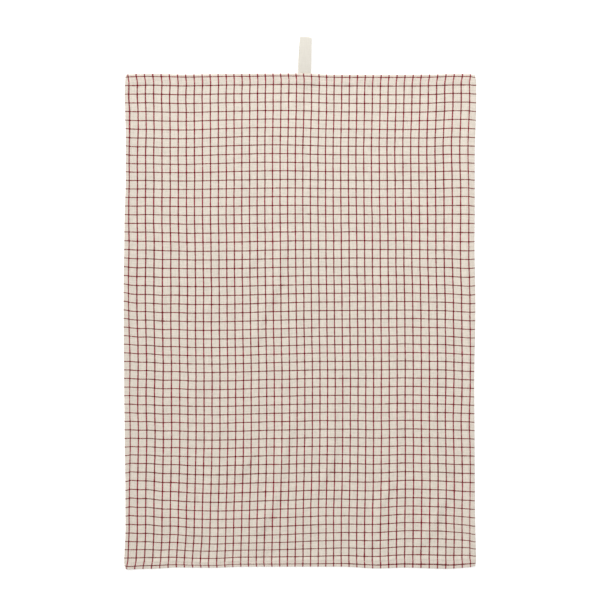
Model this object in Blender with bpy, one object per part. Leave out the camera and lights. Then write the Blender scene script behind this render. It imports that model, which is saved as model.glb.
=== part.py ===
"""Checked tea towel with a tape hanging loop, lying face up on a flat surface.

Metres, +Z up. The towel's width runs along X and its length along Y, the loop leaves
the +Y hem near its middle, and Z = 0 is the surface that everything lies on. The
origin is the middle of the whole towel's footprint, loop included.
"""

import math
from collections import namedtuple

import bmesh
import bpy
from mathutils import Vector

MM = 0.001

# Hemmed towel, and how thick one layer and the twice-folded hem stand.
CLOTH_WIDTH = 0.500
CLOTH_LENGTH = 0.704
BODY_THICKNESS = 1.1 * MM
HEM_THICKNESS = 2.1 * MM
GRID_PITCH = 14 * MM

# The hem's section: how far in from the edge, and how thick, as a share of the hem's
# extra thickness over the body. It is rounded at the edge, level to its stitch line,
# and the body then settles down to the surface.
HemStation = namedtuple("HemStation", "inset share")
HEM_SECTION = [
    HemStation(0.0 * MM, 0.35),
    HemStation(1.6 * MM, 1.00),
    HemStation(9.8 * MM, 1.00),
    HemStation(11.8 * MM, 0.60),
    HemStation(17.5 * MM, 0.00),
]

# Where each edge wanders from the true rectangle: the place along it from 0 to 1, and
# how far it stands out, in mm. The sides run from the loop's end down, the two ends
# from left to right.
EDGE_WANDER = {
    "left": [(0, -1.1), (0.045, -0.2), (0.08, -0.9), (0.12, -1.7), (0.21, -1.7),
             (0.31, 0.2), (0.43, 1.3), (0.53, 1.2), (0.62, 0.6), (0.72, -0.1),
             (0.84, -1.2), (0.91, -1.4), (1, 0.8)],
    "right": [(0, 1.2), (0.05, 1.3), (0.17, -0.9), (0.27, -0.9), (0.34, -1.2), (0.46, 0.0),
              (0.62, -1.6), (0.75, -1.1), (0.86, -0.6), (1, 1.0)],
    "top": [(0, 0.2), (0.07, 1.0), (0.17, 0.0), (0.30, 0.9), (0.47, 1.5),
            (0.62, -0.4), (0.76, -0.5), (0.88, -0.1), (0.94, 0.8), (1, 0.6)],
    "bottom": [(0, 2.0), (0.08, 0.6), (0.15, -1.3), (0.25, -0.9), (0.34, -2.4),
               (0.62, -2.5), (0.73, 0.1), (0.80, -1.1), (0.92, 0.6), (1, -1.9)],
}

# How far each corner is drawn in along its diagonal, and how far in that fades.
CORNER_DRAW = {
    ("left", "top"): 0.8 * MM,
    ("right", "top"): 2.2 * MM,
    ("left", "bottom"): 2.4 * MM,
    ("right", "bottom"): 1.6 * MM,
}
CORNER_REACH = 11 * MM

# The soft creases left by folding and washing, as ridges that lift the cloth off the
# surface: a path in mm from the towel's middle, and the ridge's height in mm.
Crease = namedtuple("Crease", "path height")
CREASE_HALF_WIDTH = 17 * MM
CREASES = [
    Crease([(-20, 122), (-28, 84), (-31, 58), (-41, 33), (-57, 1), (-61, -24)], 1.26),
    Crease([(-13, -152), (-19, -172), (-24, -190), (-28, -213), (-32, -241), (-43, -272),
            (-57, -298)], 1.32),
    Crease([(-67, -186), (-74, -198), (-86, -218)], 0.90),
    Crease([(52, -88), (51, -170), (48, -196), (40, -213), (31, -232)], 0.84),
    Crease([(142, -128), (141, -196)], 0.90),
    Crease([(129, -234), (115, -260), (111, -284), (101, -316)], 1.02),
    Crease([(213, -234), (204, -255), (195, -278), (180, -304), (162, -328)], 1.02),
    Crease([(-175, -238), (-166, -268), (-157, -300)], 0.90),
    Crease([(-41, 292), (-40, 224)], 0.72),
    Crease([(-9, 318), (-2, 275), (5, 247), (5, 226)], 0.78),
    Crease([(-63, 94), (-77, 71)], 0.66),
    Crease([(-5, -80), (-6, -128)], 0.60),
    Crease([(209, 2), (209, -32)], 0.72),
]

# Hanging loop: a tape folded in half, both ends sewn under the hem. Its lower run lies
# on the surface and splays to the left at the hem; its upper run arches over a gap and
# leans a little to the left there.
TAPE_WIDTH = 17 * MM
TAPE_THICKNESS = 1.0 * MM
LOOP_REACH = 53 * MM
LOOP_GAP = 5.4 * MM
LOOP_SPRING = 0.8  # below 1 the upper run leaves the hem more steeply
LOOP_X = 8.3 * MM
LOOP_SPLAY = 2.9 * MM
LOOP_LEAN = 0.6 * MM
TAB_DEPTH = 9 * MM
TAB_THICKNESS = 1.2 * MM
FOLD_STEPS = 10
RUN_STEPS = 12

# Under the hem the loop's tab keeps this clearance, below it and past its sides, and
# the cloth comes down to the surface again over this distance.
CLEARANCE = 0.3 * MM
ARCH_MARGIN = 2.0 * MM
ARCH_FALL = 9 * MM

CLOTH_COLOUR = (0.80, 0.73, 0.64, 1.0)
TAPE_COLOUR = (0.84, 0.81, 0.74, 1.0)


def clear_scene():
    for thing in list(bpy.data.objects):
        bpy.data.objects.remove(thing, do_unlink=True)


def ease(share):
    """A smooth step from 0 to 1."""
    share = min(max(share, 0.0), 1.0)
    return share * share * (3 - 2 * share)


def read_table(rows, place):
    """The value at a place in a table of (place, value) rows, eased between them."""
    for (start, low), (end, high) in zip(rows, rows[1:]):
        if place <= end:
            return low + (high - low) * ease((place - start) / (end - start))
    return rows[-1][1]


def fabric(name, colour):
    material = bpy.data.materials.new(name)
    material.use_nodes = True
    shader = material.node_tree.nodes["Principled BSDF"]
    shader.inputs["Base Color"].default_value = colour
    shader.inputs["Roughness"].default_value = 0.9
    shader.inputs["Metallic"].default_value = 0.0
    return material


def make_object(name, mesh_builder, material):
    """An object of its own from a bmesh, with outward faces."""
    bmesh.ops.recalc_face_normals(mesh_builder, faces=mesh_builder.faces)
    mesh = bpy.data.meshes.new(name)
    mesh_builder.to_mesh(mesh)
    mesh_builder.free()
    mesh.materials.append(material)
    mesh.shade_smooth()
    mesh.set_sharp_from_angle(angle=math.radians(40))
    thing = bpy.data.objects.new(name, mesh)
    bpy.context.collection.objects.link(thing)
    return thing


# ---------------------------------------------------------------- the cloth

def edge_out(side, along):
    return read_table(EDGE_WANDER[side], along) * MM


def corner_draw(x, y):
    """The shift of a point near one of the drawn-in corners."""
    shift = Vector((0.0, 0.0))
    for (side, end), draw in CORNER_DRAW.items():
        outward = Vector((1 if side == "right" else -1, 1 if end == "top" else -1))
        corner = Vector((outward.x * CLOTH_WIDTH / 2, outward.y * CLOTH_LENGTH / 2))
        away = (Vector((x, y)) - corner).length
        shift -= outward * draw / math.sqrt(2) * ease(1 - away / CORNER_REACH)
    return shift


def laid_place(x, y):
    """Where a point of the true rectangle lies on the surface."""
    across = x / CLOTH_WIDTH + 0.5
    down = 0.5 - y / CLOTH_LENGTH
    corner = corner_draw(x, y)
    shift_x = across * edge_out("right", down) - (1 - across) * edge_out("left", down)
    shift_y = (1 - down) * edge_out("top", across) - down * edge_out("bottom", across)
    return x + shift_x + corner.x, y + shift_y + corner.y


def distance_to_path(x, y, path):
    """The distance from a point to a line through the path's points, in metres."""
    point = Vector((x, y))
    nearest = math.inf
    for start, end in zip(path, path[1:]):
        start, end = Vector(start) * MM, Vector(end) * MM
        run = end - start
        share = min(max((point - start).dot(run) / run.length_squared, 0.0), 1.0)
        nearest = min(nearest, (start + run * share - point).length)
    return nearest


def crease_lift(x, y):
    """How far the creases hold the cloth off the surface."""
    lift = 0.0
    for crease in CREASES:
        away = distance_to_path(x, y, crease.path)
        lift = max(lift, crease.height * MM * ease(1 - away / CREASE_HALF_WIDTH))
    return lift


def tab_sides():
    """The left and right limits of the loop's tab under the hem."""
    left = LOOP_X - LOOP_SPLAY - TAPE_WIDTH / 2
    return left, LOOP_X - LOOP_LEAN + TAPE_WIDTH / 2


def arch_lift(x, inset):
    """How far the hem is lifted where it passes over the loop's tab."""
    left, right = tab_sides()
    beside = max(left - ARCH_MARGIN - x, x - right - ARCH_MARGIN, 0.0)
    behind = max(inset - TAB_DEPTH - CLEARANCE, 0.0)
    fall = HEM_SECTION[-1].inset - TAB_DEPTH - CLEARANCE
    full = TAB_THICKNESS + CLEARANCE
    return full * ease(1 - beside / ARCH_FALL) * ease(1 - behind / fall)


def layer_thickness(inset):
    """The cloth's thickness at a distance in from its nearest edge."""
    share = read_table([(row.inset, row.share) for row in HEM_SECTION], inset)
    return BODY_THICKNESS + (HEM_THICKNESS - BODY_THICKNESS) * share


def grid_lines(length, kept=()):
    """Places across the cloth: the hem's stations at both edges, and an even grid
    between them, with the kept places in it."""
    insets = [row.inset for row in HEM_SECTION]
    start = -length / 2 + insets[-1]
    steps = round((length - 2 * insets[-1]) / GRID_PITCH)
    pitch = (length - 2 * insets[-1]) / steps
    even = [start + pitch * step for step in range(1, steps)]
    even = [place for place in even if all(abs(place - own) > pitch / 2 for own in kept)]
    borders = [-length / 2 + inset for inset in insets]
    borders += [length / 2 - inset for inset in insets]
    return sorted(borders + even + list(kept))


def build_cloth():
    """One closed sheet: its underside lies on the surface but for creases and arch."""
    left, right = tab_sides()
    arch = [left - ARCH_MARGIN - ARCH_FALL, left - ARCH_MARGIN,
            right + ARCH_MARGIN, right + ARCH_MARGIN + ARCH_FALL]
    columns = grid_lines(CLOTH_WIDTH, kept=arch)
    rows = grid_lines(CLOTH_LENGTH)
    builder = bmesh.new()
    upper, lower = [], []
    for y in rows:
        upper_row, lower_row = [], []
        for x in columns:
            laid_x, laid_y = laid_place(x, y)
            inset = min(CLOTH_WIDTH / 2 - abs(x), CLOTH_LENGTH / 2 - abs(y))
            under = max(crease_lift(laid_x, laid_y), arch_lift(x, CLOTH_LENGTH / 2 - y))
            lower_row.append(builder.verts.new((laid_x, laid_y, under)))
            top = under + layer_thickness(inset)
            upper_row.append(builder.verts.new((laid_x, laid_y, top)))
        upper.append(upper_row)
        lower.append(lower_row)
    for row in range(len(rows) - 1):
        for column in range(len(columns) - 1):
            for sheet in (upper, lower):
                near, far = sheet[row], sheet[row + 1]
                corners = (near[column], near[column + 1], far[column + 1], far[column])
                builder.faces.new(corners)
    close_rim(builder, upper, lower)
    return make_object("towel_cloth", builder, fabric("checked_cotton", CLOTH_COLOUR))


def close_rim(builder, upper, lower):
    """Joins the two grids of vertices along their outer edges."""
    def ring(grid):
        left = [row[0] for row in grid]
        right = [row[-1] for row in grid]
        return grid[0][:-1] + right[:-1] + grid[-1][:0:-1] + left[:0:-1]
    above, below = ring(upper), ring(lower)
    for here in range(len(above)):
        after = (here + 1) % len(above)
        builder.faces.new((above[here], above[after], below[after], below[here]))


# ---------------------------------------------------------------- the hanging loop

TapeStation = namedtuple("TapeStation", "outer inner x")


def loop_line():
    """The middle of the tape along the loop: out on the lower run, round the fold and
    back on the upper run, as (distance past the hem, height, x) points."""
    half = TAPE_THICKNESS / 2
    radius = LOOP_GAP / 2 + half
    fold_at = LOOP_REACH - radius - half
    root = TAB_THICKNESS - half
    rise = half + 2 * radius - root
    line = []
    for step in range(1, RUN_STEPS + 1):
        share = step / RUN_STEPS
        line.append((fold_at * share, half, LOOP_X - LOOP_SPLAY * (1 - share)))
    for step in range(1, FOLD_STEPS):
        turn = math.pi * step / FOLD_STEPS
        height = half + radius * (1 - math.cos(turn))
        line.append((fold_at + radius * math.sin(turn), height, LOOP_X))
    for step in range(RUN_STEPS, 0, -1):
        share = step / RUN_STEPS
        height = root + rise * math.sin(share * math.pi / 2) ** LOOP_SPRING
        line.append((fold_at * share, height, LOOP_X - LOOP_LEAN * (1 - share)))
    return line


def loop_stations():
    """The tape's outer and inner face along the loop, square to its middle line."""
    line = loop_line()
    half = TAPE_THICKNESS / 2
    stations = []
    for place, (reach, height, x) in enumerate(line):
        before = line[max(place - 1, 0)]
        after = line[min(place + 1, len(line) - 1)]
        run = Vector((after[0] - before[0], after[1] - before[1])).normalized()
        outward = Vector((run.y, -run.x)) * half
        middle = Vector((reach, height))
        stations.append(TapeStation(middle + outward, middle - outward, x))
    return stations


def build_loop():
    """The folded tape as one closed body: the ring, and the flat tab of both ends."""
    hem_edge = CLOTH_LENGTH / 2 + edge_out("top", LOOP_X / CLOTH_WIDTH + 0.5)
    builder = bmesh.new()

    def across(point, x):
        y = hem_edge + point[0]
        ends = (x - TAPE_WIDTH / 2, x + TAPE_WIDTH / 2)
        return [builder.verts.new((end, y, point[1])) for end in ends]

    def tab_section(y):
        lower = across((y, 0.0), LOOP_X - LOOP_SPLAY)
        middle = across((y, TAB_THICKNESS / 2), LOOP_X - (LOOP_SPLAY + LOOP_LEAN) / 2)
        upper = across((y, TAB_THICKNESS), LOOP_X - LOOP_LEAN)
        return lower, middle, upper

    def join(first, second):
        builder.faces.new((first[0], first[1], second[1], second[0]))

    def join_sides(outer, inner, next_outer, next_inner):
        for end in (0, 1):
            builder.faces.new((outer[end], inner[end], next_inner[end], next_outer[end]))

    end_lower, end_middle, end_upper = tab_section(-TAB_DEPTH)
    lower, middle, upper = tab_section(0.0)
    join(end_lower, end_middle)
    join(end_middle, end_upper)
    join(end_lower, lower)
    join(end_upper, upper)
    join_sides(end_lower, end_middle, lower, middle)
    join_sides(end_upper, end_middle, upper, middle)

    outer, inner = lower, middle
    ring = [(across(row.outer, row.x), across(row.inner, row.x)) for row in loop_stations()]
    for next_outer, next_inner in ring + [(upper, middle)]:
        join(outer, next_outer)
        join(inner, next_inner)
        join_sides(outer, inner, next_outer, next_inner)
        outer, inner = next_outer, next_inner
    return make_object("hanging_loop", builder, fabric("cotton_tape", TAPE_COLOUR))


def centre_on_origin(things):
    """Shifts the pieces together, so that their footprint's middle is the origin."""
    corners = [vertex.co for thing in things for vertex in thing.data.vertices]
    middle_x = (min(c.x for c in corners) + max(c.x for c in corners)) / 2
    middle_y = (min(c.y for c in corners) + max(c.y for c in corners)) / 2
    for thing in things:
        thing.location = (-middle_x, -middle_y, 0.0)


clear_scene()
centre_on_origin([build_cloth(), build_loop()])
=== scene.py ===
"""The looks of a checked tea towel with a hanging loop, lying flat and face up.

The cloth is described in its own flat coordinates: "across" along the width and "along"
towards the loop, in metres from the towel's middle. laid() says where a point of the
flat cloth lies on the surface, and cloth_heights() how high its face and back are there.
Both are worked out once, on the grid of the cloth's mesh. The check's lines and the
stitches read that grid, so they lie on the cloth's own cells.
"""

import math
from collections import namedtuple

import bpy
import numpy as np
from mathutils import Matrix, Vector


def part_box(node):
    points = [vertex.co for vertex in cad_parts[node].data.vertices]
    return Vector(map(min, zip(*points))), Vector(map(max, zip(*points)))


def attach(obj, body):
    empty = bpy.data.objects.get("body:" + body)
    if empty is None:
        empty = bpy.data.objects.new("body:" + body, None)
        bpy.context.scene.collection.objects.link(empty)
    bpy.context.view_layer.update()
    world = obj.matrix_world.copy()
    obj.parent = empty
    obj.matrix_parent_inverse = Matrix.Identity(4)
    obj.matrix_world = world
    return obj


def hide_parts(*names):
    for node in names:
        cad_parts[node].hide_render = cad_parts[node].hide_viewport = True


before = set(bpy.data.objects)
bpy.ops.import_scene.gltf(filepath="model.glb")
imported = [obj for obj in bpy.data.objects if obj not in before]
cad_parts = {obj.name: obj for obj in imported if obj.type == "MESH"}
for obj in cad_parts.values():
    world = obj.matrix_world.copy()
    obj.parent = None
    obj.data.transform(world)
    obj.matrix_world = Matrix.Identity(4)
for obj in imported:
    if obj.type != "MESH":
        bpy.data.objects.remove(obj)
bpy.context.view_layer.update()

MM = 0.001
TINY = 1e-6                # keeps a division from being by 0

# ---------------- sizes of the cloth

CLOTH_WIDTH = 0.500
CLOTH_LENGTH = 0.704
LAYER = 0.52 * MM          # one layer of cloth
UNDER_GAP = 0.24 * MM      # what the check's yarns and the stitches need below the back
HEM_WIDTH = 10.6 * MM      # the hem is folded over twice, so it is three layers
HEM_SETTLE = 7.0 * MM      # over this the face comes down from the hem to one layer
HEM_RADIUS = 0.75 * MM     # of the folded edge
CORNER_EXTRA = 0.55 * MM   # the corners have the folds of two hems
STITCH_INSET = 9.3 * MM

# Where the grid of the cloth has its lines near an edge: on the hem and at its fold, in
# mm from the edge and from the fold, then where the face settles, as shares of that. The
# rest of the cloth has them at even steps of about GRID_STEP.
HEM_LINES = [0, 0.05, 0.18, 0.40, 0.75, 1.6, 3.4, 5.4, 7.4, 8.5, 9.3, 10.1]
FOLD_LINES = [-0.05, 0.1]
SETTLE_LINES = [0.2, 0.45, 0.7, 1.0]
GRID_STEP = 3.4 * MM

# Where each edge wanders from the true rectangle: the place along it from 0 to 1, and
# how far it stands out, in mm. The sides run from the loop's end down, the two ends
# from left to right.
EDGE_WANDER = {
    "left": [(0, -1.1), (0.045, -0.2), (0.08, -0.9), (0.12, -1.7), (0.21, -1.7),
             (0.31, 0.2), (0.43, 1.3), (0.53, 1.2), (0.62, 0.6), (0.72, -0.1),
             (0.84, -1.2), (0.91, -1.4), (1, 0.8)],
    "right": [(0, 1.2), (0.05, 1.3), (0.17, -0.9), (0.27, -0.9), (0.34, -1.2), (0.46, 0.0),
              (0.62, -1.6), (0.75, -1.1), (0.86, -0.6), (1, 1.0)],
    "top": [(0, 0.2), (0.07, 1.0), (0.17, 0.0), (0.30, 0.9), (0.47, 1.5),
            (0.62, -0.4), (0.76, -0.5), (0.88, -0.1), (0.94, 0.8), (1, 0.6)],
    "bottom": [(0, 2.0), (0.08, 0.6), (0.15, -1.3), (0.25, -0.9), (0.34, -2.4),
               (0.62, -2.5), (0.73, 0.1), (0.80, -1.1), (0.92, 0.6), (1, -1.9)],
}

# How far each corner is drawn in along its diagonal, and how far in that fades.
Corner = namedtuple("Corner", "right up draw")
CORNERS = [Corner(*row) for row in (
    (-1, 1, 0.8 * MM),
    (1, 1, 2.2 * MM),
    (-1, -1, 2.4 * MM),
    (1, -1, 1.6 * MM),
)]
CORNER_REACH = 11 * MM

# How the weave is drawn out of true. Its cells are wider near the sides than in the
# middle. Its rows sag by the second table's mm, from left to right, times the first
# table's share, from the loop's end down. Its columns lean by the third table's mm.
SIDE_SPREAD = 3.35 * MM
SIDE_LEAN = 0.65 * MM
SAG_SHARE = [(0, 0), (0.10, 0.27), (0.16, 0.35), (0.23, 0.28), (0.28, 0.40), (0.36, 0.95),
             (0.47, 1.45), (0.53, 1.5), (0.60, 1.3), (0.77, 1.05), (0.865, 1.7),
             (0.91, 1.6), (1, 0)]
ROW_SAG = [(0, 1.0), (0.05, 2.6), (0.12, 4.3), (0.19, 5.2), (0.32, 5.5), (0.42, 4.6),
           (0.60, 3.0), (0.74, 1.7), (0.90, 1.7), (1, 4.6)]
COLUMN_LEAN = [(0, -1.4), (0.12, -1.9), (0.22, -1.6), (0.36, 0.1), (0.46, 0.8),
               (0.60, 2.4), (0.71, 1.9), (0.93, -1.5), (1, -1.5)]
LEAN_HOLD = 5 * MM         # the lean fades over this towards the sides
HEM_FLARE = 2.0 * MM       # the stitching of the two ends pushes the columns outward there
FLARE_REACH = 1.5 * STITCH_INSET
FLARE_HOLD = 6 * MM        # the flare fades over this towards the sides

# Single pulls in the weave, in mm: the place, how far round, how far right and up.
Pull = namedtuple("Pull", "x y reach right up")
PULLS = [Pull(*row) for row in (
    (0, 320, 70, 1.2, 0.3),
    (170, 270, 60, -0.6, -0.9),
    (205, 60, 90, -0.4, -1.0),
    (-170, 60, 85, 1.5, 0.2),
    (200, -260, 90, 2.9, 0.5),
    (-120, -250, 80, -0.8, -0.1),
    (-150, -345, 50, -1.8, -1.8),
    (-205, 250, 70, -0.4, -1.6),
    (-60, 260, 65, -0.1, 1.3),
    (-235, 40, 60, -1.2, -1.5),
    (215, -100, 70, 0.5, 0.0),
    (-235, -220, 60, -1.1, 2.2),
    (90, -240, 50, 0.4, -1.6),
    (170, -325, 60, 0.4, 2.1),
    (-60, -330, 70, -1.0, -1.7),
    (100, 130, 80, 0.5, 0.5),
    (20, -100, 80, 0.4, 0.2),
    (235, 300, 50, 0.3, 1.2),
    (218, -318, 45, 0.8, 2.0),
    (15, -335, 60, 0.5, -1.0),
    (-243, -105, 60, -1.7, 0.4),
    (-243, 290, 45, 2.0, 0.2),
    (242, 185, 55, 1.4, 1.1),
    (245, -140, 45, -1.6, 0.5),
    (-120, -352, 45, 0.0, -0.8),
    (-215, -275, 50, 0.0, 1.2),
)]
PULL_FADE = 1.5            # how steeply a pull fades within its reach
PULL_HOLD = 10 * MM        # the pulls fade over this towards the edges

# The soft creases left by folding and washing, as ridges under the cloth: a path in mm
# from the towel's middle, the ridge's height, and how wide its gentle and its steep side
# are. The steep side is on the left hand when going along the path.
Crease = namedtuple("Crease", "path height gentle steep")
CREASES = [Crease(*row) for row in (
    ([(-20, 122), (-28, 84), (-31, 58), (-41, 33), (-57, 1), (-61, -24)], 1.35, 17, 9),
    ([(-13, -152), (-19, -172), (-24, -190), (-28, -213), (-32, -241), (-43, -272),
      (-57, -298)], 1.40, 18, 10),
    ([(-67, -186), (-74, -198), (-86, -218)], 0.90, 13, 8),
    ([(52, -88), (51, -170), (48, -196), (40, -213), (31, -232)], 0.95, 14, 7),
    ([(142, -128), (141, -196)], 0.90, 13, 8),
    ([(129, -234), (115, -260), (111, -284), (101, -316)], 1.02, 13, 9),
    ([(213, -234), (204, -255), (195, -278), (180, -304), (162, -328)], 1.02, 16, 10),
    ([(-175, -238), (-166, -268), (-157, -300)], 0.90, 16, 11),
    ([(-41, 292), (-40, 224)], 0.72, 14, 9),
    ([(-9, 318), (-2, 275), (5, 247), (5, 226)], 0.78, 12, 8),
    ([(-6, 222), (-5, 172), (-3, 122)], 0.54, 12, 7),
    ([(-63, 94), (-77, 71)], 0.66, 12, 8),
    ([(145, 268), (145, 226)], 0.48, 11, 7),
    ([(-5, -80), (-6, -128)], 0.60, 11, 7),
    ([(-177, 174), (-182, 114)], 0.54, 14, 9),
    ([(-194, 48), (-200, 6)], 0.48, 12, 8),
    ([(209, 2), (209, -32)], 0.72, 12, 8),
    ([(8, -13), (-25, -11)], 0.54, 11, 7),
    ([(69, -26), (61, -78)], 0.48, 12, 8),
    ([(17, -82), (14, -118)], 0.48, 11, 7),
)]

CREASE_ON_HEM = 0.25       # how much of a crease's height goes on over the hem

# The crumple of washed cotton between the creases: broad waves, and finer ones that are
# a share of their height.
CRUMPLE_REST = 0.34 * MM   # the cloth's mean height over the surface
CRUMPLE_HEIGHT = 0.12 * MM
BROAD_WAVES = (38 * MM, 62 * MM)
FINE_WAVES = (13 * MM, 17 * MM)
FINE_SHARE = 0.25

# The puckers along the hem's stitching, and the groove that its stitches lie in.
PUCKER_HEIGHT = 0.12 * MM
PUCKER_WAVES = (17 * MM, 17 * MM)
PUCKER_REACH = 5 * MM
GROOVE_DEPTH = 0.16 * MM
GROOVE_REACH = 0.8 * MM

# ---------------- sizes of the check

# One family of coloured lines: how many, the first one's place, the step from one to
# the next, the width that shows, and how proud of the cloth its middle stands.
Check = namedtuple("Check", "name count first step width proud")
WARP = Check("check_warp", 44, -243.5 * MM, 11.292 * MM, 1.79 * MM, 0.10 * MM)
WEFT = Check("check_weft", 58, 348.15 * MM, -12.2 * MM, 1.57 * MM, 0.08 * MM)
YARN_SINK = 0.03 * MM      # how deep a line's two sides lie in the cloth
SHOWN_SHARE = 0.77         # of a line's breadth, because its two sides are in the cloth
END_SHARE = SHOWN_SHARE - 0.1   # of that breadth at the very ends, so that no side shows
END_PROUD = 0.08 * MM      # how far a line's ends stand out past the hem's edge
EDGE_PROUD = 0.4           # how much of a line's height is left round the hem's edge
FOLD_STEP = 0.2 * MM       # the back steps up within this of the hem's inner fold
FOLD_DIP = 0.5 * MM        # how deep a line goes there to change its place unseen
TWIST_LIMIT = 0.1 * MM     # the most that a line is raised over twisted cells
SLUB_SHARE = 0.06          # how much a line's width varies along it
SLUB_LENGTH = 11 * MM
SLUB_SEED = 100
WANDER = 0.07 * MM         # how far a line strays from its place
WANDER_LENGTH = 50 * MM
WANDER_SEED = 300
WARP_YARN = WARP.step / 18      # from yarn to yarn of the ivory cloth
WEFT_YARN = -WEFT.step / 20

# Six points go round a line at each station: side, middle and side on the face, then the
# same on the back. In its maps the first comes again as the seventh, where they are cut.
ROUND_LINE = [-1, 0, 1, 1, 0, -1]
MIDDLE_ONLY = [0, 1, 0]
STRIP_SHARES = [0.06, 0.27, 0.48, 0.52, 0.73, 0.94, 0.98]
LINE_CAPS = [[0, 1, 4, 5], [1, 2, 3, 4]]

# How the pieces lie in the pictures that they are baked to, in shares of the picture.
# The cloth's face fills its height, and its back is narrowed beside it. The lines of the
# check lie in it as strips, one over the other.
BAKE_MARGIN = 0.005
BACK_BAKE_FROM = 0.725
BACK_BAKE_WIDTH = 0.27
STRIP_MARGIN = 0.002

# ---------------- sizes of the loop

TAPE_WIDTH = 17 * MM
TAPE_THICKNESS = 0.55 * MM
LOOP_REACH = 53.0 * MM     # past the hem
LOOP_GAP = 5.2 * MM        # between its two runs, at the fold
LOOP_SPRING = 0.8          # below 1 the upper run leaves the hem more steeply
LOOP_X = 8.3 * MM
LOOP_SPLAY = 2.9 * MM      # how far left the lower run is at the hem
LOOP_LEAN = 0.6 * MM       # how far left the upper run is there
LOOP_BOW = 0.6 * MM        # of the lower run, to the left
FOLD_PRESS = 0.5           # the fold's depth as a share of a round one's
FOLD_SKEW = 1.3 * MM       # how much shorter the loop is at its right corner
SKEW_FROM = 0.8            # the share of the reach where that starts
TAPE_REST = 0.02 * MM      # under the tape
TAPE_TOUCH = 0.02 * MM     # between its two ends
LOWER_STEPS, FOLD_STEPS, UPPER_STEPS = 25, 17, 33

# The loop's tab, its two ends under the hem, and the hem's arch over it: the room round
# the tab, and how far beside and behind it the cloth comes down.
TAB_DEPTH = 9 * MM
TAB_ROOM = 0.1 * MM
ARCH_MARGIN = 1.5 * MM
ARCH_FALL = 8 * MM
ARCH_FALL_BEHIND = 1.6 * ARCH_FALL

# The tape's section from its middle to its edge, in shares of its half width: where its
# points are, how far in it is rounded, and where its selvedge stands up and how broad.
TAPE_STATIONS = [0, 0.3, 0.6, 0.82, 0.9, 0.95, 0.985, 1]
TAPE_ROUNDING = 0.05
TAPE_EDGE = 0.25           # the thickness at the very edge, as a share
SELVEDGE_RISE = 0.04 * MM
SELVEDGE_PLACE = 0.92
SELVEDGE_BREADTH = 0.05
SELVEDGE_INNER, SELVEDGE_OUTER = 1.4 * MM, 0.9 * MM   # where its colour starts and is full

# ---------------- the hem's stitches

STITCH_PITCH = 3.2 * MM
STITCH_LENGTH = 2.6 * MM
STITCH_THREAD = 0.34 * MM
STITCH_SIDES = 5
STITCH_SCATTER = 0.08 * MM
STITCH_SEED = 51

# A stitch from end to end: the place along it, how plump its thread is there, and how
# far its middle stands out of the cloth, in threads.
StitchSection = namedtuple("StitchSection", "place plump rise")
STITCH_SECTIONS = [StitchSection(*row) for row in (
    (-0.5, 0.45, -0.30),
    (-0.36, 0.9, 0.02),
    (0.0, 1.0, 0.16),
    (0.36, 0.9, 0.02),
    (0.5, 0.45, -0.30),
)]

# ---------------- colours and light

GROUND = (0.846, 0.773, 0.671, 1)
HEM_GROUND = (0.828, 0.748, 0.655, 1)
WARP_RED = (0.40, 0.014, 0.052, 1)
WARP_BROWN = (0.21, 0.026, 0.034, 1)
WARP_SPECKS = 0.84
WEFT_RED = (0.325, 0.026, 0.038, 1)
WEFT_BROWN = (0.16, 0.046, 0.040, 1)
WEFT_SPECKS = 0.73
CROSSING = (0.09, 0.002, 0.005, 1)
CROSSING_TOP = (0.18, 0.007, 0.013, 1)
CROSSING_REACH = 1.2       # of a crossing's own colours, in half widths of a line
CROSSING_BLEND = 1.15      # where they have faded, in shares of that reach
THREAD = (0.80, 0.71, 0.60, 1)
THREAD_DARK = (0.74, 0.65, 0.54, 1)
THREAD_LIGHT = (0.86, 0.78, 0.67, 1)
TAPE = (0.835, 0.797, 0.715, 1)
TAPE_SELVEDGE = (0.85, 0.82, 0.745, 1)
TAPE_WARP, TAPE_WEFT = 0.42 * MM, 0.55 * MM   # from yarn to yarn of the tape
TAPE_TONES = (0.03, 0.02)

# How far the yarns' tones vary, over what length, and the step in the noise from one
# yarn to the next. The cloth has faint clouds besides, and its hem has a soft limit.
YARN_TONE = 0.08
TONE_LENGTH = 14 * MM
YARN_APART = 17.3
CLOUD_TONE = 0.008
CLOUD_SIZE = (45 * MM, 60 * MM)
HEM_BLEND = 1.5 * MM
WEAVE_LIFT = 0.4           # how far a yarn goes up over its crossings, and down under them

# A line's burgundy has a shade that changes along each of its yarns. Ivory specks show on
# it where a crossing yarn is on top, more or less of them by two noises: a fine one, and
# patches along each yarn. The steps apart are in the noise.
LINE_YARN = 0.55 * MM      # from yarn to yarn of a line
LINE_YARN_APART = 7.7
SHADE_LENGTH = 16 * MM
TICK_SPREAD = 1.6          # how much broader than long a speck is
SPECK_BLEND = 0.1
JITTER = (-0.15, 0.15)
JITTER_SIZE = (0.8 * MM, 1.1 * MM)
PATCHES = (-0.3, 0.2)
PATCH_LENGTH = 5 * MM
PATCH_APART = 3.3

ROOM_STRENGTH = 0.524
SUN_STRENGTH = 1.39
PANEL_POWER = 4.4
FLOOR_WHITE = (0.82, 0.82, 0.82, 1)
FLOOR_GLOW = 0.58

CAMERA_HEIGHT = 2.4
VIEW_WIDTH = 0.8556        # at the surface
VIEW_OFF_MIDDLE = (0.0001, 0.0305)   # of the picture from the towel's middle

# ---------------- small helpers


def ease(share):
    """A smooth step from 0 to 1."""
    share = np.clip(share, 0.0, 1.0)
    return share * share * (3 - 2 * share)


def read_table(rows, place):
    """The values at places in a table of (place, value) rows, eased between them."""
    starts = np.array([row[0] for row in rows], float)
    values = np.array([row[1] for row in rows], float)
    place = np.clip(place, starts[0], starts[-1])
    low = np.clip(np.searchsorted(starts, place, side="right") - 1, 0, len(rows) - 2)
    share = (place - starts[low]) / (starts[low + 1] - starts[low])
    return values[low] + (values[low + 1] - values[low]) * ease(share)


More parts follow.
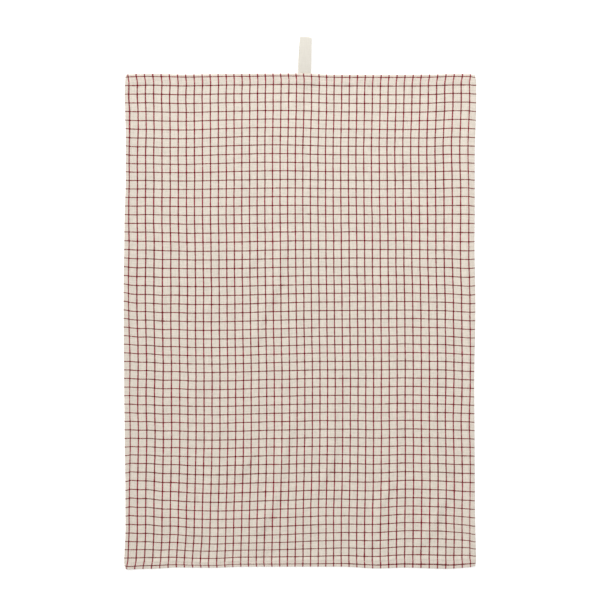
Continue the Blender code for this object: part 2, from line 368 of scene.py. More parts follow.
def waves(x, y, length_x, length_y, seed, count=26):
    """Smooth noise with a root mean square of 1: waves of about these lengths."""
    draw = np.random.default_rng(seed)
    total = np.zeros(np.broadcast(x, y).shape)
    for _ in range(count):
        turn = draw.uniform(0, 2 * math.pi)
        size = draw.uniform(0.6, 1.6)
        start = draw.uniform(0, 2 * math.pi)
        run = size * (math.cos(turn) * x / length_x + math.sin(turn) * y / length_y)
        total += np.cos(2 * math.pi * run + start)
    return total * math.sqrt(2 / count)


def bell(distance, reach):
    """1 at a distance of 0, and fading to 0 past the reach."""
    return np.exp(-((distance / reach) ** 2))


def crease_lift(x, y, crease):
    """How high a crease lifts points of the laid cloth, as a share of its own height."""
    nearest = np.full(np.broadcast(x, y).shape, np.inf)
    width = nearest.copy()
    for (x0, y0), (x1, y1) in zip(crease.path, crease.path[1:]):
        run_x, run_y = x1 - x0, y1 - y0
        off_x, off_y = x / MM - x0, y / MM - y0
        share = np.clip((off_x * run_x + off_y * run_y) / (run_x**2 + run_y**2), 0.0, 1.0)
        away = np.hypot(off_x - share * run_x, off_y - share * run_y)
        # 1 to the left of the path, -1 to its right, and 0 straight ahead of its end.
        side = (run_x * off_y - run_y * off_x) / (math.hypot(run_x, run_y) * away + TINY)
        side_width = crease.gentle + (crease.steep - crease.gentle) * (0.5 + 0.5 * side)
        width = np.where(away < nearest, side_width, width)
        nearest = np.minimum(nearest, away)
    return ease(1 - nearest / width)


# ---------------- how the cloth lies


def insets(across, along):
    """How far points of the flat cloth are in from the nearer side and end."""
    side = np.maximum(CLOTH_WIDTH / 2 - np.abs(across), 0.0)
    end = np.maximum(CLOTH_LENGTH / 2 - np.abs(along), 0.0)
    return side, end


def laid(across, along):
    """Where points of the flat cloth lie, from the towel's middle."""
    share_x = across / CLOTH_WIDTH + 0.5
    down = 0.5 - along / CLOTH_LENGTH
    wander = {side: read_table(rows, down if side in ("left", "right") else share_x) * MM
              for side, rows in EDGE_WANDER.items()}
    x = across + share_x * wander["right"] - (1 - share_x) * wander["left"]
    y = along + (1 - down) * wander["top"] - down * wander["bottom"]

    side, end = insets(across, along)
    x = x + SIDE_SPREAD * np.sin(2 * math.pi * share_x) + SIDE_LEAN * np.sin(math.pi * share_x)
    x = x + read_table(COLUMN_LEAN, down) * MM * ease(side / LEAN_HOLD)
    y = y - read_table(ROW_SAG, share_x) * read_table(SAG_SHARE, down) * MM
    hold = ease(np.minimum(side, end) / PULL_HOLD)
    for pull in PULLS:
        away = np.hypot(across - pull.x * MM, along - pull.y * MM) / (pull.reach * MM)
        strength = np.exp(-PULL_FADE * away**2) * hold * MM
        x = x + pull.right * strength
        y = y + pull.up * strength
    flare = HEM_FLARE * ease(1 - end / FLARE_REACH) * ease(side / FLARE_HOLD)
    x = x + flare * across / (CLOTH_WIDTH / 2)

    for corner in CORNERS:
        from_x = across - corner.right * CLOTH_WIDTH / 2
        from_y = along - corner.up * CLOTH_LENGTH / 2
        draw = corner.draw / math.sqrt(2) * ease(1 - np.hypot(from_x, from_y) / CORNER_REACH)
        x = x - corner.right * draw
        y = y - corner.up * draw
    return x, y


def hem_share(inset):
    """1 on the hem, 0 where the face has come down to one layer."""
    return ease(1 - (inset - HEM_WIDTH) / HEM_SETTLE)


def tab_sides():
    """The left and right limits of the loop's tab under the hem."""
    left = LOOP_X - LOOP_SPLAY - TAPE_WIDTH / 2
    return left, LOOP_X - LOOP_LEAN + TAPE_WIDTH / 2


def arch(across, along):
    """How far the hem is lifted where it passes over the loop's tab."""
    left, right = tab_sides()
    beside = np.maximum(np.maximum(left - across, across - right) - ARCH_MARGIN, 0.0)
    behind = np.maximum(CLOTH_LENGTH / 2 - along - TAB_DEPTH, 0.0)
    height = 2 * TAPE_THICKNESS + TAB_ROOM
    return height * ease(1 - beside / ARCH_FALL) * ease(1 - behind / ARCH_FALL_BEHIND)


def free_lift(across, along, body):
    """How far crumple, creases and the loop's tab hold the cloth off the surface."""
    x, y = laid(across, along)
    crease = np.zeros(x.shape)
    for row in CREASES:
        crease = np.maximum(crease, row.height * MM * crease_lift(x, y, row))
    crease = crease * (CREASE_ON_HEM + (1 - CREASE_ON_HEM) * body)
    crumple = waves(x, y, *BROAD_WAVES, seed=4) + FINE_SHARE * waves(x, y, *FINE_WAVES, seed=9)
    crumple = np.maximum(CRUMPLE_REST + CRUMPLE_HEIGHT * crumple, 0.0)
    return body * crumple + np.maximum(crease, arch(across, along))


def stitched_relief(across, along, side, end):
    """How far the puckers along the stitching raise or lower the face, and the groove."""
    pucker = PUCKER_HEIGHT * waves(across, along, *PUCKER_WAVES, seed=21)
    near = np.maximum(bell(side - STITCH_INSET, PUCKER_REACH),
                      bell(end - STITCH_INSET, PUCKER_REACH))
    groove = np.maximum(bell(side - STITCH_INSET, GROOVE_REACH),
                        bell(end - STITCH_INSET, GROOVE_REACH))
    return pucker * near - GROOVE_DEPTH * groove


def cloth_heights(across, along):
    """The heights of the cloth's face and of its back."""
    side, end = insets(across, along)
    hem_side, hem_end = hem_share(side), hem_share(end)
    lift = free_lift(across, along, (1 - hem_side) * (1 - hem_end))
    rise = 2 * LAYER * np.maximum(hem_side, hem_end) + CORNER_EXTRA * hem_side * hem_end
    face = UNDER_GAP + LAYER + lift + rise + stitched_relief(across, along, side, end)

    inset = np.minimum(side, end)
    back = np.where(inset < HEM_WIDTH, UNDER_GAP + np.minimum(lift, face), face - LAYER)
    edge = np.clip(inset / HEM_RADIUS, 0.0, 1.0)
    rounding = np.sqrt(1 - (1 - edge) ** 2)
    middle = (face + back) / 2
    return middle + (face - middle) * rounding, middle - (middle - back) * rounding


def towel_middle():
    """Where the flat cloth's middle is in the frame, from the CAD cloth's own box."""
    edge = np.linspace(-0.5, 0.5, 400)
    x, y = [], []
    for half in (-0.5, 0.5):
        held = np.full(edge.shape, half)
        for across, along in ((edge, held), (held, edge)):
            laid_x, laid_y = laid(across * CLOTH_WIDTH, along * CLOTH_LENGTH)
            x.append(laid_x)
            y.append(laid_y)
    low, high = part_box("towel_cloth")
    x, y = np.concatenate(x), np.concatenate(y)
    return (low.x + high.x - x.min() - x.max()) / 2, (low.y + high.y - y.min() - y.max()) / 2


MIDDLE_X, MIDDLE_Y = towel_middle()


# ---------------- meshes


def add_mesh(name, points, faces, maps, material):
    """An object from points and faces, with UV maps given as one pair per corner."""
    mesh = bpy.data.meshes.new(name)
    if isinstance(faces, np.ndarray):
        faces = faces.tolist()
    mesh.from_pydata(np.asarray(points).tolist(), [], faces)
    for title, pairs in maps.items():
        layer = mesh.uv_layers.new(name=title)
        layer.uv.foreach_set("vector", np.asarray(pairs, np.float32).ravel())
    mesh.materials.append(material)
    mesh.polygons.foreach_set("use_smooth", np.full(len(mesh.polygons), True))
    mesh.update()
    thing = bpy.data.objects.new(name, mesh)
    bpy.context.scene.collection.objects.link(thing)
    return thing


def stations(length):
    """Places across the flat cloth: close together where the hem's section turns, and
    even between the hems."""
    border = np.concatenate([
        np.array(HEM_LINES) * MM,
        HEM_WIDTH + np.array(FOLD_LINES) * MM,
        HEM_WIDTH + np.array(SETTLE_LINES) * HEM_SETTLE,
    ])
    start = length / 2 - border[-1]
    count = round(2 * start / GRID_STEP)
    even = np.linspace(-start, start, count + 1)[1:-1]
    return np.concatenate([border - length / 2, even, (length / 2 - border)[::-1]])


def cell_corners(grid):
    """The four corner indices of each cell of a grid of indices."""
    return np.stack([grid[:-1, :-1], grid[:-1, 1:], grid[1:, 1:], grid[1:, :-1]], -1)


def cell_points(points):
    """The four corner points of each cell of a grid of points."""
    return np.stack([points[:-1, :-1], points[:-1, 1:], points[1:, 1:], points[1:, :-1]], -2)


def twist(heights):
    """How far the two triangles of a twisted cell may stand off its even surface: the most
    of the cells round each point of the grid."""
    cells = np.abs(heights[:-1, :-1] + heights[1:, 1:] - heights[:-1, 1:] - heights[1:, :-1]) / 4
    cells = np.minimum(np.pad(cells, 1, mode="edge"), TWIST_LIMIT)
    return np.max([cells[:-1, :-1], cells[:-1, 1:], cells[1:, :-1], cells[1:, 1:]], axis=0)


COLUMNS, ROWS = stations(CLOTH_WIDTH), stations(CLOTH_LENGTH)
GRID_ACROSS, GRID_ALONG = np.meshgrid(COLUMNS, ROWS)
GRID_X, GRID_Y = laid(GRID_ACROSS, GRID_ALONG)
GRID_FACE, GRID_BACK = cloth_heights(GRID_ACROSS, GRID_ALONG)
GRID_TWIST = twist(GRID_FACE)


def between(places, marks):
    """Which step of the marks each place is in, and how far along that step."""
    step = np.clip(np.searchsorted(marks, places) - 1, 0, len(marks) - 2)
    share = (places - marks[step]) / (marks[step + 1] - marks[step])
    return step, np.clip(share, 0.0, 1.0)


def on_grids(across, along, *grids):
    """The values of grids at places of the flat cloth, even across each cell. So what lies
    on the cloth follows the cells of its mesh."""
    column, share_x = between(across, COLUMNS)
    row, share_y = between(along, ROWS)
    values = []
    for grid in grids:
        near = grid[row, column] * (1 - share_x) + grid[row, column + 1] * share_x
        far = grid[row + 1, column] * (1 - share_x) + grid[row + 1, column + 1] * share_x
        values.append(near * (1 - share_y) + far * share_y)
    return values


def on_cloth(across, along, height):
    """Points of the frame over the cloth's own cells, or just past its edge."""
    x, y = on_grids(across, along, GRID_X, GRID_Y)
    past_x = across - np.clip(across, -CLOTH_WIDTH / 2, CLOTH_WIDTH / 2)
    past_y = along - np.clip(along, -CLOTH_LENGTH / 2, CLOTH_LENGTH / 2)
    return np.stack([x + past_x + MIDDLE_X, y + past_y + MIDDLE_Y, height], axis=-1)


def cloth_maps(face_cells, back_cells):
    """The cloth's two UV maps: the flat cloth in metres, and the picture that it is baked
    to, with the face at its true proportions and the back beside it, narrowed."""
    flat = np.stack([GRID_ACROSS, GRID_ALONG], -1).reshape(-1, 2)
    face_flat, back_flat = flat[face_cells], flat[back_cells]
    corner = [CLOTH_WIDTH / 2, CLOTH_LENGTH / 2]
    scale = (1 - 2 * BAKE_MARGIN) / CLOTH_LENGTH
    face_bake = (face_flat + corner) * scale + BAKE_MARGIN
    back_bake = (back_flat + corner) * [BACK_BAKE_WIDTH / CLOTH_WIDTH, scale]
    back_bake = back_bake + [BACK_BAKE_FROM, BAKE_MARGIN]
    return {
        "cloth": np.concatenate([face_flat, back_flat]).reshape(-1, 2),
        "OFBake": np.concatenate([face_bake, back_bake]).reshape(-1, 2),
    }


def build_cloth(material):
    """The towel's cloth: one closed sheet, its face and back meeting at the hem's edge."""
    face_grid = np.arange(GRID_X.size).reshape(GRID_X.shape)
    inner = (slice(1, -1), slice(1, -1))
    back_grid = face_grid.copy()
    back_grid[inner] = GRID_X.size + np.arange(GRID_X[inner].size).reshape(GRID_X[inner].shape)
    x, y = GRID_X + MIDDLE_X, GRID_Y + MIDDLE_Y
    points = np.concatenate([
        np.stack([x, y, GRID_FACE], -1).reshape(-1, 3),
        np.stack([x[inner], y[inner], GRID_BACK[inner]], -1).reshape(-1, 3),
    ])
    face_cells = cell_corners(face_grid).reshape(-1, 4)
    back_cells = cell_corners(back_grid)[..., ::-1].reshape(-1, 4)
    maps = cloth_maps(face_cells, face_cells[:, ::-1])
    cells = np.concatenate([face_cells, back_cells])
    return add_mesh("checked_cloth", points, cells, maps, material)


def line_stations(length):
    """Places along a line of the check, from just past one edge to just past the other."""
    run = stations(length)
    return np.concatenate([[run[0] - END_PROUD], run, [run[-1] + END_PROUD]])


def line_offsets(check, number, run):
    """How far the six points round a line are from its middle, at each station."""
    width = check.width / SHOWN_SHARE * np.ones(run.shape)
    width[[0, 1, -2, -1]] *= END_SHARE
    slub = 1 + SLUB_SHARE * waves(run, 0 * run, SLUB_LENGTH, 1.0, SLUB_SEED + number)
    return np.array(ROUND_LINE) * (width / 2 * slub)[:, None]


def line_on_back(check, line, run, length, breadth):
    """Where a line is on the back at each station, how far it dips into the cloth there,
    and where along the check it is. Most lines show in the same place on both sides, but
    on a hem the cloth is turned in, so the check runs on beyond the edge, backwards."""
    from_end = length / 2 - np.abs(run)
    inset = breadth / 2 - abs(line)
    if inset > HEM_WIDTH:
        along = np.where(from_end < HEM_WIDTH, np.sign(run) * length - run, run)
        return np.full(run.shape, line), 0 * run, along
    # A line along a hem changes its place at the fold of the hem that it ends in.
    turned = math.copysign(breadth / 2 - abs(check.step) + inset, line)
    place = np.where(from_end < HEM_WIDTH, line, turned)
    dip = np.where(np.abs(from_end - HEM_WIDTH) < FOLD_STEP, FOLD_DIP, 0.0)
    return place, dip, run


def line_heights(check, across, along, from_end, dip):
    """How high the six points round a line are at each station: its two sides sink into
    the cloth, and its middle stands proud of it."""
    face, back, raised = on_grids(across, along, GRID_FACE, GRID_BACK, GRID_TWIST)
    near_end = np.clip(from_end / HEM_RADIUS, 0.0, 1.0)[:, None]
    proud = np.array([-YARN_SINK, check.proud, -YARN_SINK])
    proud = proud * (EDGE_PROUD + (1 - EDGE_PROUD) * near_end)
    over = face[:, :3] + proud + raised[:, :3] * MIDDLE_ONLY
    under = back[:, 3:] - proud - raised[:, 3:] * MIDDLE_ONLY + dip[:, None]
    return np.concatenate([over, under], axis=1)


def build_check(check, is_warp, material):
    """A family of the check's coloured lines, woven through the cloth: each is a thin
    closed band that shows on the face and on the back."""
    length, breadth = (CLOTH_LENGTH, CLOTH_WIDTH) if is_warp else (CLOTH_WIDTH, CLOTH_LENGTH)
    run = line_stations(length)
    lengthwise = np.repeat(run[:, None], len(ROUND_LINE), axis=1)
    strip_run = STRIP_MARGIN + (1 - 2 * STRIP_MARGIN) * (run - run[0]) / (run[-1] - run[0])
    turn = slice(None) if is_warp else slice(None, None, -1)
    points, cells, yarn_map, bake_map = [], [], [], []
    for number in range(check.count):
        line = check.first + check.step * number
        offset = line_offsets(check, number, run)
        wander = WANDER * waves(run, 0 * run, WANDER_LENGTH, 1.0, WANDER_SEED + number)
        back_place, dip, back_run = line_on_back(check, line, run, length, breadth)
        middle = np.stack([np.full(run.shape, line)] * 3 + [back_place] * 3, axis=1)
        crosswise = middle + offset + wander[:, None]
        across, along = (crosswise, lengthwise) if is_warp else (lengthwise, crosswise)
        height = line_heights(check, across, along, length / 2 - np.abs(run), dip)
        points.append(on_cloth(across, along, height).reshape(-1, 3))

        grid = height.size * number + np.arange(height.size).reshape(height.shape)
        around = np.concatenate([grid, grid[:, :1]], axis=1)
        round_offset = np.concatenate([offset, offset[:, :1]], axis=1)
        round_run = np.stack([run] * 3 + [back_run] * 3 + [run], axis=1)
        yarn = np.stack([round_offset, round_run], -1)
        strips = (number + np.array(STRIP_SHARES)) / check.count
        bake = np.stack(np.meshgrid(strip_run, strips, indexing="ij"), -1)
        cells.append(cell_corners(around)[..., turn].reshape(-1, 4))
        yarn_map.append(cell_points(yarn)[..., turn, :].reshape(-1, 2))
        bake_map.append(cell_points(bake)[..., turn, :].reshape(-1, 2))
        for end in (0, -1):
            caps = grid[end][LINE_CAPS]
            cells.append(caps[:, ::-1] if (end == 0) == is_warp else caps)
            yarn_map.append(np.full((caps.size, 2), yarn[end, 1]))
            bake_map.append(np.full((caps.size, 2), bake[end, 1]))
    maps = {"yarn": np.concatenate(yarn_map), "OFBake": np.concatenate(bake_map)}
    return add_mesh(check.name, np.concatenate(points), np.concatenate(cells), maps, material)


def stitch_places():
    """Where the hem's stitches are in the flat cloth: their middles, and which way each
    one runs."""
    half_x, half_y = CLOTH_WIDTH / 2 - STITCH_INSET, CLOTH_LENGTH / 2 - STITCH_INSET
    corners = [(-half_x, -half_y), (half_x, -half_y), (half_x, half_y), (-half_x, half_y)]
    middles, runs = [], []
    for start, end in zip(corners, corners[1:] + corners[:1]):
        start, end = np.array(start), np.array(end)
        length = np.hypot(*(end - start))
        count = round(length / STITCH_PITCH)
        share = (np.arange(count) + 0.5) / count
        middles.append(start + share[:, None] * (end - start))
        runs.append(np.tile((end - start) / length, (count, 1)))
    return np.concatenate(middles), np.concatenate(runs)


def stitch_rings(middles, runs, on_face):
    """The points of all stitches of one side: a ring of them at each section."""
    shift = 0 if on_face else STITCH_PITCH / 2
    sides = np.stack([-runs[:, 1], runs[:, 0]], -1)
    turn = 2 * math.pi * np.arange(STITCH_SIDES) / STITCH_SIDES
    rings = []
    for section in STITCH_SECTIONS:
        centre = middles + runs * (section.place * STITCH_LENGTH + shift)
        face, back = on_grids(centre[:, 0], centre[:, 1], GRID_FACE, GRID_BACK)
        rise = section.rise * STITCH_THREAD
        level = face + rise if on_face else back - rise
        radius = section.plump * STITCH_THREAD / 2
        ring = centre[:, None, :] + sides[:, None, :] * (radius * np.cos(turn))[:, None]
        height = level[:, None] + radius * np.sin(turn)
        rings.append(on_cloth(ring[..., 0], ring[..., 1], height))
    return np.stack(rings, 1)


def build_stitches(material):
    """The hem's stitches, front and back: short plump threads that dive into the cloth."""
    middles, runs = stitch_places()
    draw = np.random.default_rng(STITCH_SEED)
    middles = middles + draw.normal(0, STITCH_SCATTER, middles.shape)
    points, cells = [], []
    for on_face in (True, False):
        rings = stitch_rings(middles, runs, on_face).reshape(-1, 3)
        grid = len(points) * len(rings) + np.arange(len(rings))
        grid = grid.reshape(-1, len(STITCH_SECTIONS), STITCH_SIDES)
        around = np.concatenate([grid, grid[..., :1]], axis=2)
        quads = np.stack([around[:, :-1, 1:], around[:, 1:, 1:], around[:, 1:, :-1],
                          around[:, :-1, :-1]], -1)
        points.append(rings)
        cells.extend(quads.reshape(-1, 4).tolist())
        cells.extend(grid[:, 0, ::-1].tolist())
        cells.extend(grid[:, -1, :].tolist())
    return add_mesh("hem_stitches", np.concatenate(points), cells, {}, material)


# ---------------- the hanging loop


def loop_line():
    """The middle of the tape from one sewn end to the other: out on the lower run, round
    the fold and back on the upper run, as rows of (distance past the hem, height, x)."""
    half = TAPE_THICKNESS / 2
    low = TAPE_REST + half
    radius = LOOP_GAP / 2 + half
    fold_at = LOOP_REACH - FOLD_PRESS * radius - half
    root = low + TAPE_THICKNESS + TAPE_TOUCH
    rise = low + 2 * radius - root
    low_x, high_x = LOOP_X - LOOP_SPLAY, LOOP_X - LOOP_LEAN
    line = [(-TAB_DEPTH * share, low, low_x) for share in (1, 0.5)]
    for share in np.linspace(0, 1, LOWER_STEPS + 1):
        bow = LOOP_BOW * math.sin(math.pi * share)
        line.append((fold_at * share, low, low_x + LOOP_SPLAY * share - bow))
    for turn in np.linspace(0, math.pi, FOLD_STEPS + 1)[1:-1]:
        height = low + radius * (1 - math.cos(turn))
        line.append((fold_at + FOLD_PRESS * radius * math.sin(turn), height, LOOP_X))
    for share in np.linspace(1, 0, UPPER_STEPS + 1):
        height = root + rise * math.sin(share * math.pi / 2) ** LOOP_SPRING
        line.append((fold_at * share, height, high_x + LOOP_LEAN * share))
    line += [(-TAB_DEPTH * share, root, high_x) for share in (0.5, 1)]
    return np.array(line)


def tape_section():
    """The points round the tape, from its left edge to its right one and back: how far
    they are to the right of its middle, and how far outward."""
    half = np.array(TAPE_STATIONS)
    across = np.concatenate([-half[:0:-1], half])
    edge = np.clip((1 - np.abs(across)) / TAPE_ROUNDING, 0.0, 1.0)
    thick = TAPE_THICKNESS / 2 * (TAPE_EDGE + (1 - TAPE_EDGE) * np.sqrt(1 - (1 - edge) ** 2))
    selvedge = SELVEDGE_RISE * bell(np.abs(across) - SELVEDGE_PLACE, SELVEDGE_BREADTH)
    thick = thick * (1 - 2 * SELVEDGE_RISE / TAPE_THICKNESS) + selvedge
    right = np.concatenate([across, across[::-1]]) * TAPE_WIDTH / 2
    return right, np.concatenate([thick, -thick[::-1]])


def build_tape(material):
    """The folded tape: its section carried along the loop's line."""
    line = loop_line()
    run = np.gradient(line[:, :2], axis=0)
    run /= np.hypot(run[:, 0], run[:, 1])[:, None]
    outward = np.stack([run[:, 1], -run[:, 0]], -1)
    length = np.concatenate([[0], np.cumsum(np.hypot(*np.diff(line[:, :2], axis=0).T))])
    section_x, section_out = tape_section()

    hem_edge = MIDDLE_Y + laid(np.array([LOOP_X]), np.array([CLOTH_LENGTH / 2]))[1][0]
    reach = line[:, :1] + outward[:, :1] * section_out
    near_fold = ease((line[:, :1] / LOOP_REACH - SKEW_FROM) / (1 - SKEW_FROM))
    reach = reach - FOLD_SKEW * near_fold * ease(section_x / (TAPE_WIDTH / 2))
    height = line[:, 1:2] + outward[:, 1:2] * section_out
    x = MIDDLE_X + line[:, 2:3] + section_x + 0 * reach
    points = np.stack([x, hem_edge + reach, height], -1)

    rows, columns = points.shape[:2]
    grid = np.arange(rows * columns).reshape(rows, columns)
    around = np.concatenate([grid, grid[:, :1]], axis=1)
    flat = np.stack([np.tile(np.append(section_x, section_x[0]), (rows, 1)),
                     np.repeat(length[:, None], columns + 1, axis=1)], -1)
    cells = [cell_corners(around)[..., ::-1].reshape(-1, 4)]
    tape_map = [cell_points(flat)[..., ::-1, :].reshape(-1, 2)]
    low = np.arange(columns // 2 - 1)
    high = columns - 1 - low
    for end in (0, -1):
        caps = grid[end][np.stack([low, low + 1, high - 1, high], -1)]
        cells.append(caps[:, ::-1] if end else caps)
        tape_map.append(np.repeat(flat[end, low], 4, axis=0))
    maps = {"tape": np.concatenate(tape_map)}
    return add_mesh("hanging_tape", points.reshape(-1, 3), np.concatenate(cells), maps, material)


# ---------------- materials


class Finish:
    """A new material, with short calls that add nodes to it."""

    def __init__(self, name, **constants):
        self.material = bpy.data.materials.new(name)
        self.material.use_nodes = True
        self.tree = self.material.node_tree
        self.surface = self.tree.nodes["Principled BSDF"]
        for socket, value in constants.items():
            self.surface.inputs[socket.replace("_", " ")].default_value = value

    def put(self, socket, value):
        if isinstance(value, bpy.types.NodeSocket):
            self.tree.links.new(value, socket)
        else:
            socket.default_value = value

    def add(self, kind, inputs=(), **settings):
        node = self.tree.nodes.new("ShaderNode" + kind)
        for name, value in settings.items():
            setattr(node, name, value)
        for name, value in dict(inputs).items():
            self.put(node.inputs[name], value)
        return node

    def math(self, operation, *values):
        node = self.add("Math", operation=operation)
        for socket, value in zip(node.inputs, values):
            self.put(socket, value)
        return node.outputs[0]

    def flat(self, name):
        """The two coordinates of a UV map."""
        place = self.add("UVMap", uv_map=name).outputs[0]
        split = self.add("SeparateXYZ", {"Vector": place})
        return split.outputs[0], split.outputs[1]

    def place(self, x, y):
        return self.add("CombineXYZ", {"X": x, "Y": y}).outputs[0]

    def noise(self, x, y, size, detail=2.0):
        """Noise from 0 to 1, with lumps of about this size in x and y."""
        place = self.place(self.math("DIVIDE", x, size[0]), self.math("DIVIDE", y, size[1]))
        inputs = {"Vector": place, "Scale": 1.0, "Detail": detail}
        return self.add("TexNoise", inputs, noise_dimensions="2D").outputs["Fac"]

    def spread(self, value, low, high, from_low=0.0, from_high=1.0):
        """A value mapped from one range to another, and held inside it."""
        inputs = {"Value": value, "From Min": from_low, "From Max": from_high,
                  "To Min": low, "To Max": high}
        return self.add("MapRange", inputs).outputs[0]

    def mix(self, share, first, second):
        node = self.add("Mix", data_type="RGBA")
        for socket, value in zip((node.inputs[0], node.inputs[6], node.inputs[7]),
                                 (share, first, second)):
            self.put(socket, value)
        return node.outputs[2]

    def scale(self, colour, amount):
        """A colour times a number."""
        node = self.add("VectorMath", operation="SCALE")
        self.put(node.inputs[0], colour)
        self.put(node.inputs["Scale"], amount)
        return node.outputs[0]

    def paint(self, colour):
        self.put(self.surface.inputs["Base Color"], colour)

    def bump(self, height, depth, strength):
        inputs = {"Height": height, "Distance": depth, "Strength": strength}
        self.put(self.surface.inputs["Normal"], self.add("Bump", inputs).outputs[0])


def yarn_tones(finish, x, y, warp_yarn, weft_yarn):
    """How light each yarn is along its length, from about -1 to 1: the warp's yarns run
    along y and the weft's along x."""
    tones = []
    for crosswise, lengthwise, yarn in ((x, y, warp_yarn), (y, x, weft_yarn)):
        number = finish.math("FLOOR", finish.math("DIVIDE", crosswise, yarn))
        lane = finish.math("MULTIPLY", number, YARN_APART)
        tone = finish.noise(lane, lengthwise, (1, TONE_LENGTH))
        tones.append(finish.spread(tone, -1, 1, from_low=0.25, from_high=0.75))
    return tones


def rib(finish, place, yarn):
    """A wave that is 0 between two yarns, and changes its sign from yarn to yarn."""
    return finish.math("SINE", finish.math("MULTIPLY", place, math.pi / yarn))


def weave_height(finish, x, y, warp_yarn, weft_yarn):
    """The relief of a plain weave, from 0 to 1, and which yarn is on top."""
    rib_x, rib_y = rib(finish, x, warp_yarn), rib(finish, y, weft_yarn)
    over = finish.math("MULTIPLY", rib_x, rib_y)
    heights = []
    for wave, lift in ((rib_x, WEAVE_LIFT), (rib_y, -WEAVE_LIFT)):
        top = finish.math("MULTIPLY_ADD", over, lift, 1 - WEAVE_LIFT)
        heights.append(finish.math("MULTIPLY", finish.math("ABSOLUTE", wave), top))
    return finish.math("MAXIMUM", *heights), over


def crosswise_ticks(finish, x, y, over, crossing_yarn):
    """Where the yarns that cross a line pass over its own: 1 in the middle of each such
    place, and falling off in an oblong, broader across the line than along it."""
    columns = finish.math("ABSOLUTE", rib(finish, x, LINE_YARN))
    rows = finish.math("ABSOLUTE", rib(finish, y, crossing_yarn))
    oblong = finish.math("MINIMUM", finish.math("MULTIPLY", columns, TICK_SPREAD), rows)
    return finish.math("MULTIPLY", finish.math("SIGN", over), oblong)


def cloth_finish():
    """Ivory plain weave, its yarns a little uneven, and warmer where the hem is folded."""
    finish = Finish("ivory_cotton", Roughness=0.92, Specular_IOR_Level=0.18,
                    Sheen_Weight=0.12, Sheen_Roughness=0.45)
    x, y = finish.flat("cloth")
    warp_tone, weft_tone = yarn_tones(finish, x, y, WARP_YARN, WEFT_YARN)
    cloud = finish.noise(x, y, CLOUD_SIZE, detail=4.0)
    tone = finish.math("ADD", finish.math("MULTIPLY", warp_tone, YARN_TONE),
                       finish.math("MULTIPLY", weft_tone, YARN_TONE))
    tone = finish.math("ADD", tone, finish.spread(cloud, -CLOUD_TONE, CLOUD_TONE,
                                                  from_low=0.3, from_high=0.7))
    light = finish.math("ADD", tone, 1.0)
    side = finish.math("SUBTRACT", CLOTH_WIDTH / 2, finish.math("ABSOLUTE", x))
    end = finish.math("SUBTRACT", CLOTH_LENGTH / 2, finish.math("ABSOLUTE", y))
    inset = finish.math("MINIMUM", side, end)
    hem = finish.spread(inset, 1.0, 0.0, HEM_WIDTH, HEM_WIDTH + HEM_BLEND)
    ground = finish.mix(hem, GROUND, HEM_GROUND)
    finish.paint(finish.scale(ground, light))
    relief, _ = weave_height(finish, x, y, WARP_YARN, WEFT_YARN)
    slubs = finish.math("MULTIPLY", finish.math("ADD", warp_tone, weft_tone), 0.5)
    finish.bump(finish.math("ADD", relief, slubs), depth=0.12 * MM, strength=0.7)
    return finish.material


def check_finish(check, is_warp, other, colour, colour_far, specks):
    """Burgundy yarns with the ivory ones passing over them, solid where two of the
    check's lines cross."""
    finish = Finish(check.name, Roughness=0.9, Specular_IOR_Level=0.18,
                    Sheen_Weight=0.08, Sheen_Roughness=0.45)
    x, y = finish.flat("yarn")
    x = finish.math("ADD", x, LINE_YARN / 2)
    crossing_yarn = WEFT_YARN if is_warp else WARP_YARN
    relief, over = weave_height(finish, x, y, LINE_YARN, crossing_yarn)
    own = finish.math("FLOOR", finish.math("DIVIDE", x, LINE_YARN))
    own = finish.math("MULTIPLY", own, LINE_YARN_APART)
    shade = finish.noise(own, y, (1, SHADE_LENGTH), detail=3.0)
    shade = finish.spread(shade, 0, 1, from_low=0.36, from_high=0.64)
    burgundy = finish.mix(shade, colour, colour_far)
    # An ivory yarn shows where it is on top, more on some than on others.
    jitter = finish.noise(x, y, JITTER_SIZE)
    patch = finish.noise(finish.math("ADD", own, PATCH_APART), y, (1, PATCH_LENGTH))
    top = crosswise_ticks(finish, x, y, over, crossing_yarn)
    for noise, (low, high) in ((jitter, JITTER), (patch, PATCHES)):
        top = finish.math("ADD", top, finish.spread(noise, low, high, 0.3, 0.7))
    speck = finish.spread(top, 0, 1, specks, specks + SPECK_BLEND)
    # Steps along the line from the nearest line of the other family.
    step = finish.math("DIVIDE", finish.math("SUBTRACT", y, other.first), abs(other.step))
    away = finish.math("ABSOLUTE", finish.math("SUBTRACT", step, finish.math("ROUND", step)))
    half = CROSSING_REACH * other.width / 2 / abs(other.step)
    clear = finish.spread(away, 0, 1, half, half * CROSSING_BLEND)
    crossing = finish.mix(finish.spread(over, 0, 1, -0.5, 0.5), CROSSING, CROSSING_TOP)
    burgundy = finish.mix(clear, crossing, burgundy)
    share = finish.math("MULTIPLY", speck, clear)
    finish.paint(finish.mix(share, burgundy, GROUND))
    finish.bump(relief, depth=0.09 * MM, strength=0.5)
    return finish.material


def thread_finish():
    """Sewing thread, a little glossier than the cloth."""
    finish = Finish("hem_thread", Base_Color=THREAD, Roughness=0.7,
                    Specular_IOR_Level=0.3, Sheen_Weight=0.1, Sheen_Roughness=0.4)
    place = finish.add("TexCoord").outputs["Object"]
    inputs = {"Vector": place, "Scale": 900.0, "Detail": 1.0}
    tone = finish.add("TexNoise", inputs).outputs["Fac"]
    finish.paint(finish.mix(tone, THREAD_DARK, THREAD_LIGHT))
    return finish.material


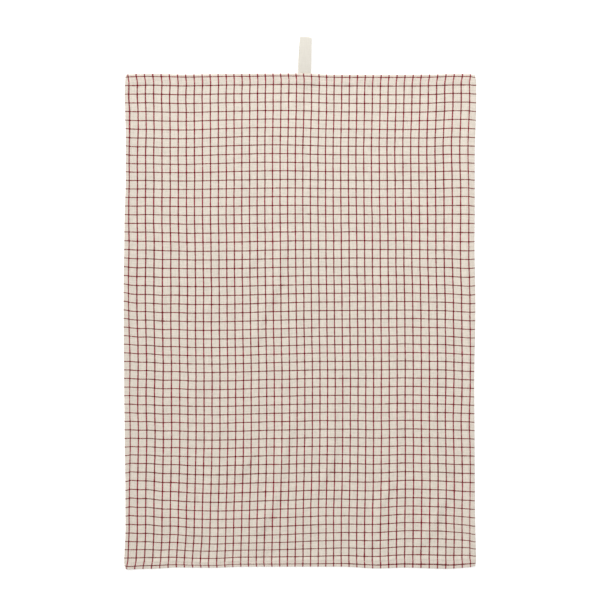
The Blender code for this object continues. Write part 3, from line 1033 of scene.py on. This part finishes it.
def tape_finish():
    """Off-white cotton tape, a little lighter at the selvedges."""
    finish = Finish("cotton_tape", Roughness=0.85, Specular_IOR_Level=0.2,
                    Sheen_Weight=0.12, Sheen_Roughness=0.4)
    x, y = finish.flat("tape")
    light = 1.0
    for tone, amount in zip(yarn_tones(finish, x, y, TAPE_WARP, TAPE_WEFT), TAPE_TONES):
        light = finish.math("ADD", light, finish.math("MULTIPLY", tone, amount))
    edge = finish.math("ABSOLUTE", x)
    selvedge = finish.spread(edge, 0, 1, TAPE_WIDTH / 2 - SELVEDGE_INNER,
                             TAPE_WIDTH / 2 - SELVEDGE_OUTER)
    cloth = finish.mix(selvedge, TAPE, TAPE_SELVEDGE)
    finish.paint(finish.scale(cloth, light))
    relief, _ = weave_height(finish, x, y, TAPE_WARP, TAPE_WEFT)
    finish.bump(relief, depth=0.1 * MM, strength=0.6)
    return finish.material


# ---------------- floor, light, camera


def build_floor():
    """A white table that reaches past the picture on all sides."""
    finish = Finish("white_table", Base_Color=FLOOR_WHITE, Roughness=0.95,
                    Specular_IOR_Level=0.0, Emission_Color=FLOOR_WHITE,
                    Emission_Strength=FLOOR_GLOW)
    half = 12.0
    corners = [(-half, -half, 0), (half, -half, 0), (half, half, 0), (-half, half, 0)]
    floor = add_mesh("floor", corners, [(0, 1, 2, 3)], {}, finish.material)


def add_light(name, kind, energy, place, target, colour, **settings):
    """A lamp at a place, turned to a target."""
    light = bpy.data.lights.new(name, kind)
    light.energy = energy
    light.color = colour
    for key, value in settings.items():
        setattr(light, key, value)
    lamp = bpy.data.objects.new(name, light)
    lamp.location = place
    aim = Vector(target) - Vector(place)
    lamp.rotation_euler = aim.to_track_quat("-Z", "Y").to_euler()
    bpy.context.scene.collection.objects.link(lamp)


def build_light():
    """Even studio light, with a soft window beyond the loop's end to the left."""
    world = bpy.data.worlds.new("studio")
    world.use_nodes = True
    background = world.node_tree.nodes["Background"]
    background.inputs["Color"].default_value = (1.0, 1.0, 1.0, 1.0)
    background.inputs["Strength"].default_value = ROOM_STRENGTH
    bpy.context.scene.world = world
    add_light("window", "SUN", SUN_STRENGTH, place=(-1.0, 1.5, 1.15), target=(0, 0, 0),
              colour=(1, 0.99, 0.97), angle=math.radians(25))
    add_light("panel", "AREA", PANEL_POWER, place=(0.08, 0.95, 0.95), target=(0, 0.1, 0),
              colour=(1, 1, 0.99), size=0.6)


def build_camera():
    """Straight above, at the photo's framing."""
    lens = bpy.data.cameras.new("camera")
    lens.sensor_width = 36.0
    lens.lens = lens.sensor_width * CAMERA_HEIGHT / VIEW_WIDTH
    camera = bpy.data.objects.new("camera", lens)
    off_x, off_y = VIEW_OFF_MIDDLE
    camera.location = (MIDDLE_X + off_x, MIDDLE_Y + off_y, CAMERA_HEIGHT)
    bpy.context.scene.collection.objects.link(camera)
    bpy.context.scene.camera = camera


# ---------------- the whole

cloth = build_cloth(cloth_finish())
check_warp = build_check(WARP, True, check_finish(
    WARP, True, WEFT, WARP_RED, WARP_BROWN, WARP_SPECKS))
check_weft = build_check(WEFT, False, check_finish(
    WEFT, False, WARP, WEFT_RED, WEFT_BROWN, WEFT_SPECKS))
stitches = build_stitches(thread_finish())
tape = build_tape(tape_finish())

for piece in (cloth, check_warp, check_weft, stitches, tape):
    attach(piece, "root")
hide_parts("towel_cloth")
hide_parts("hanging_loop")

build_floor()
build_light()
build_camera()
bpy.context.scene.view_settings.view_transform = "Standard"
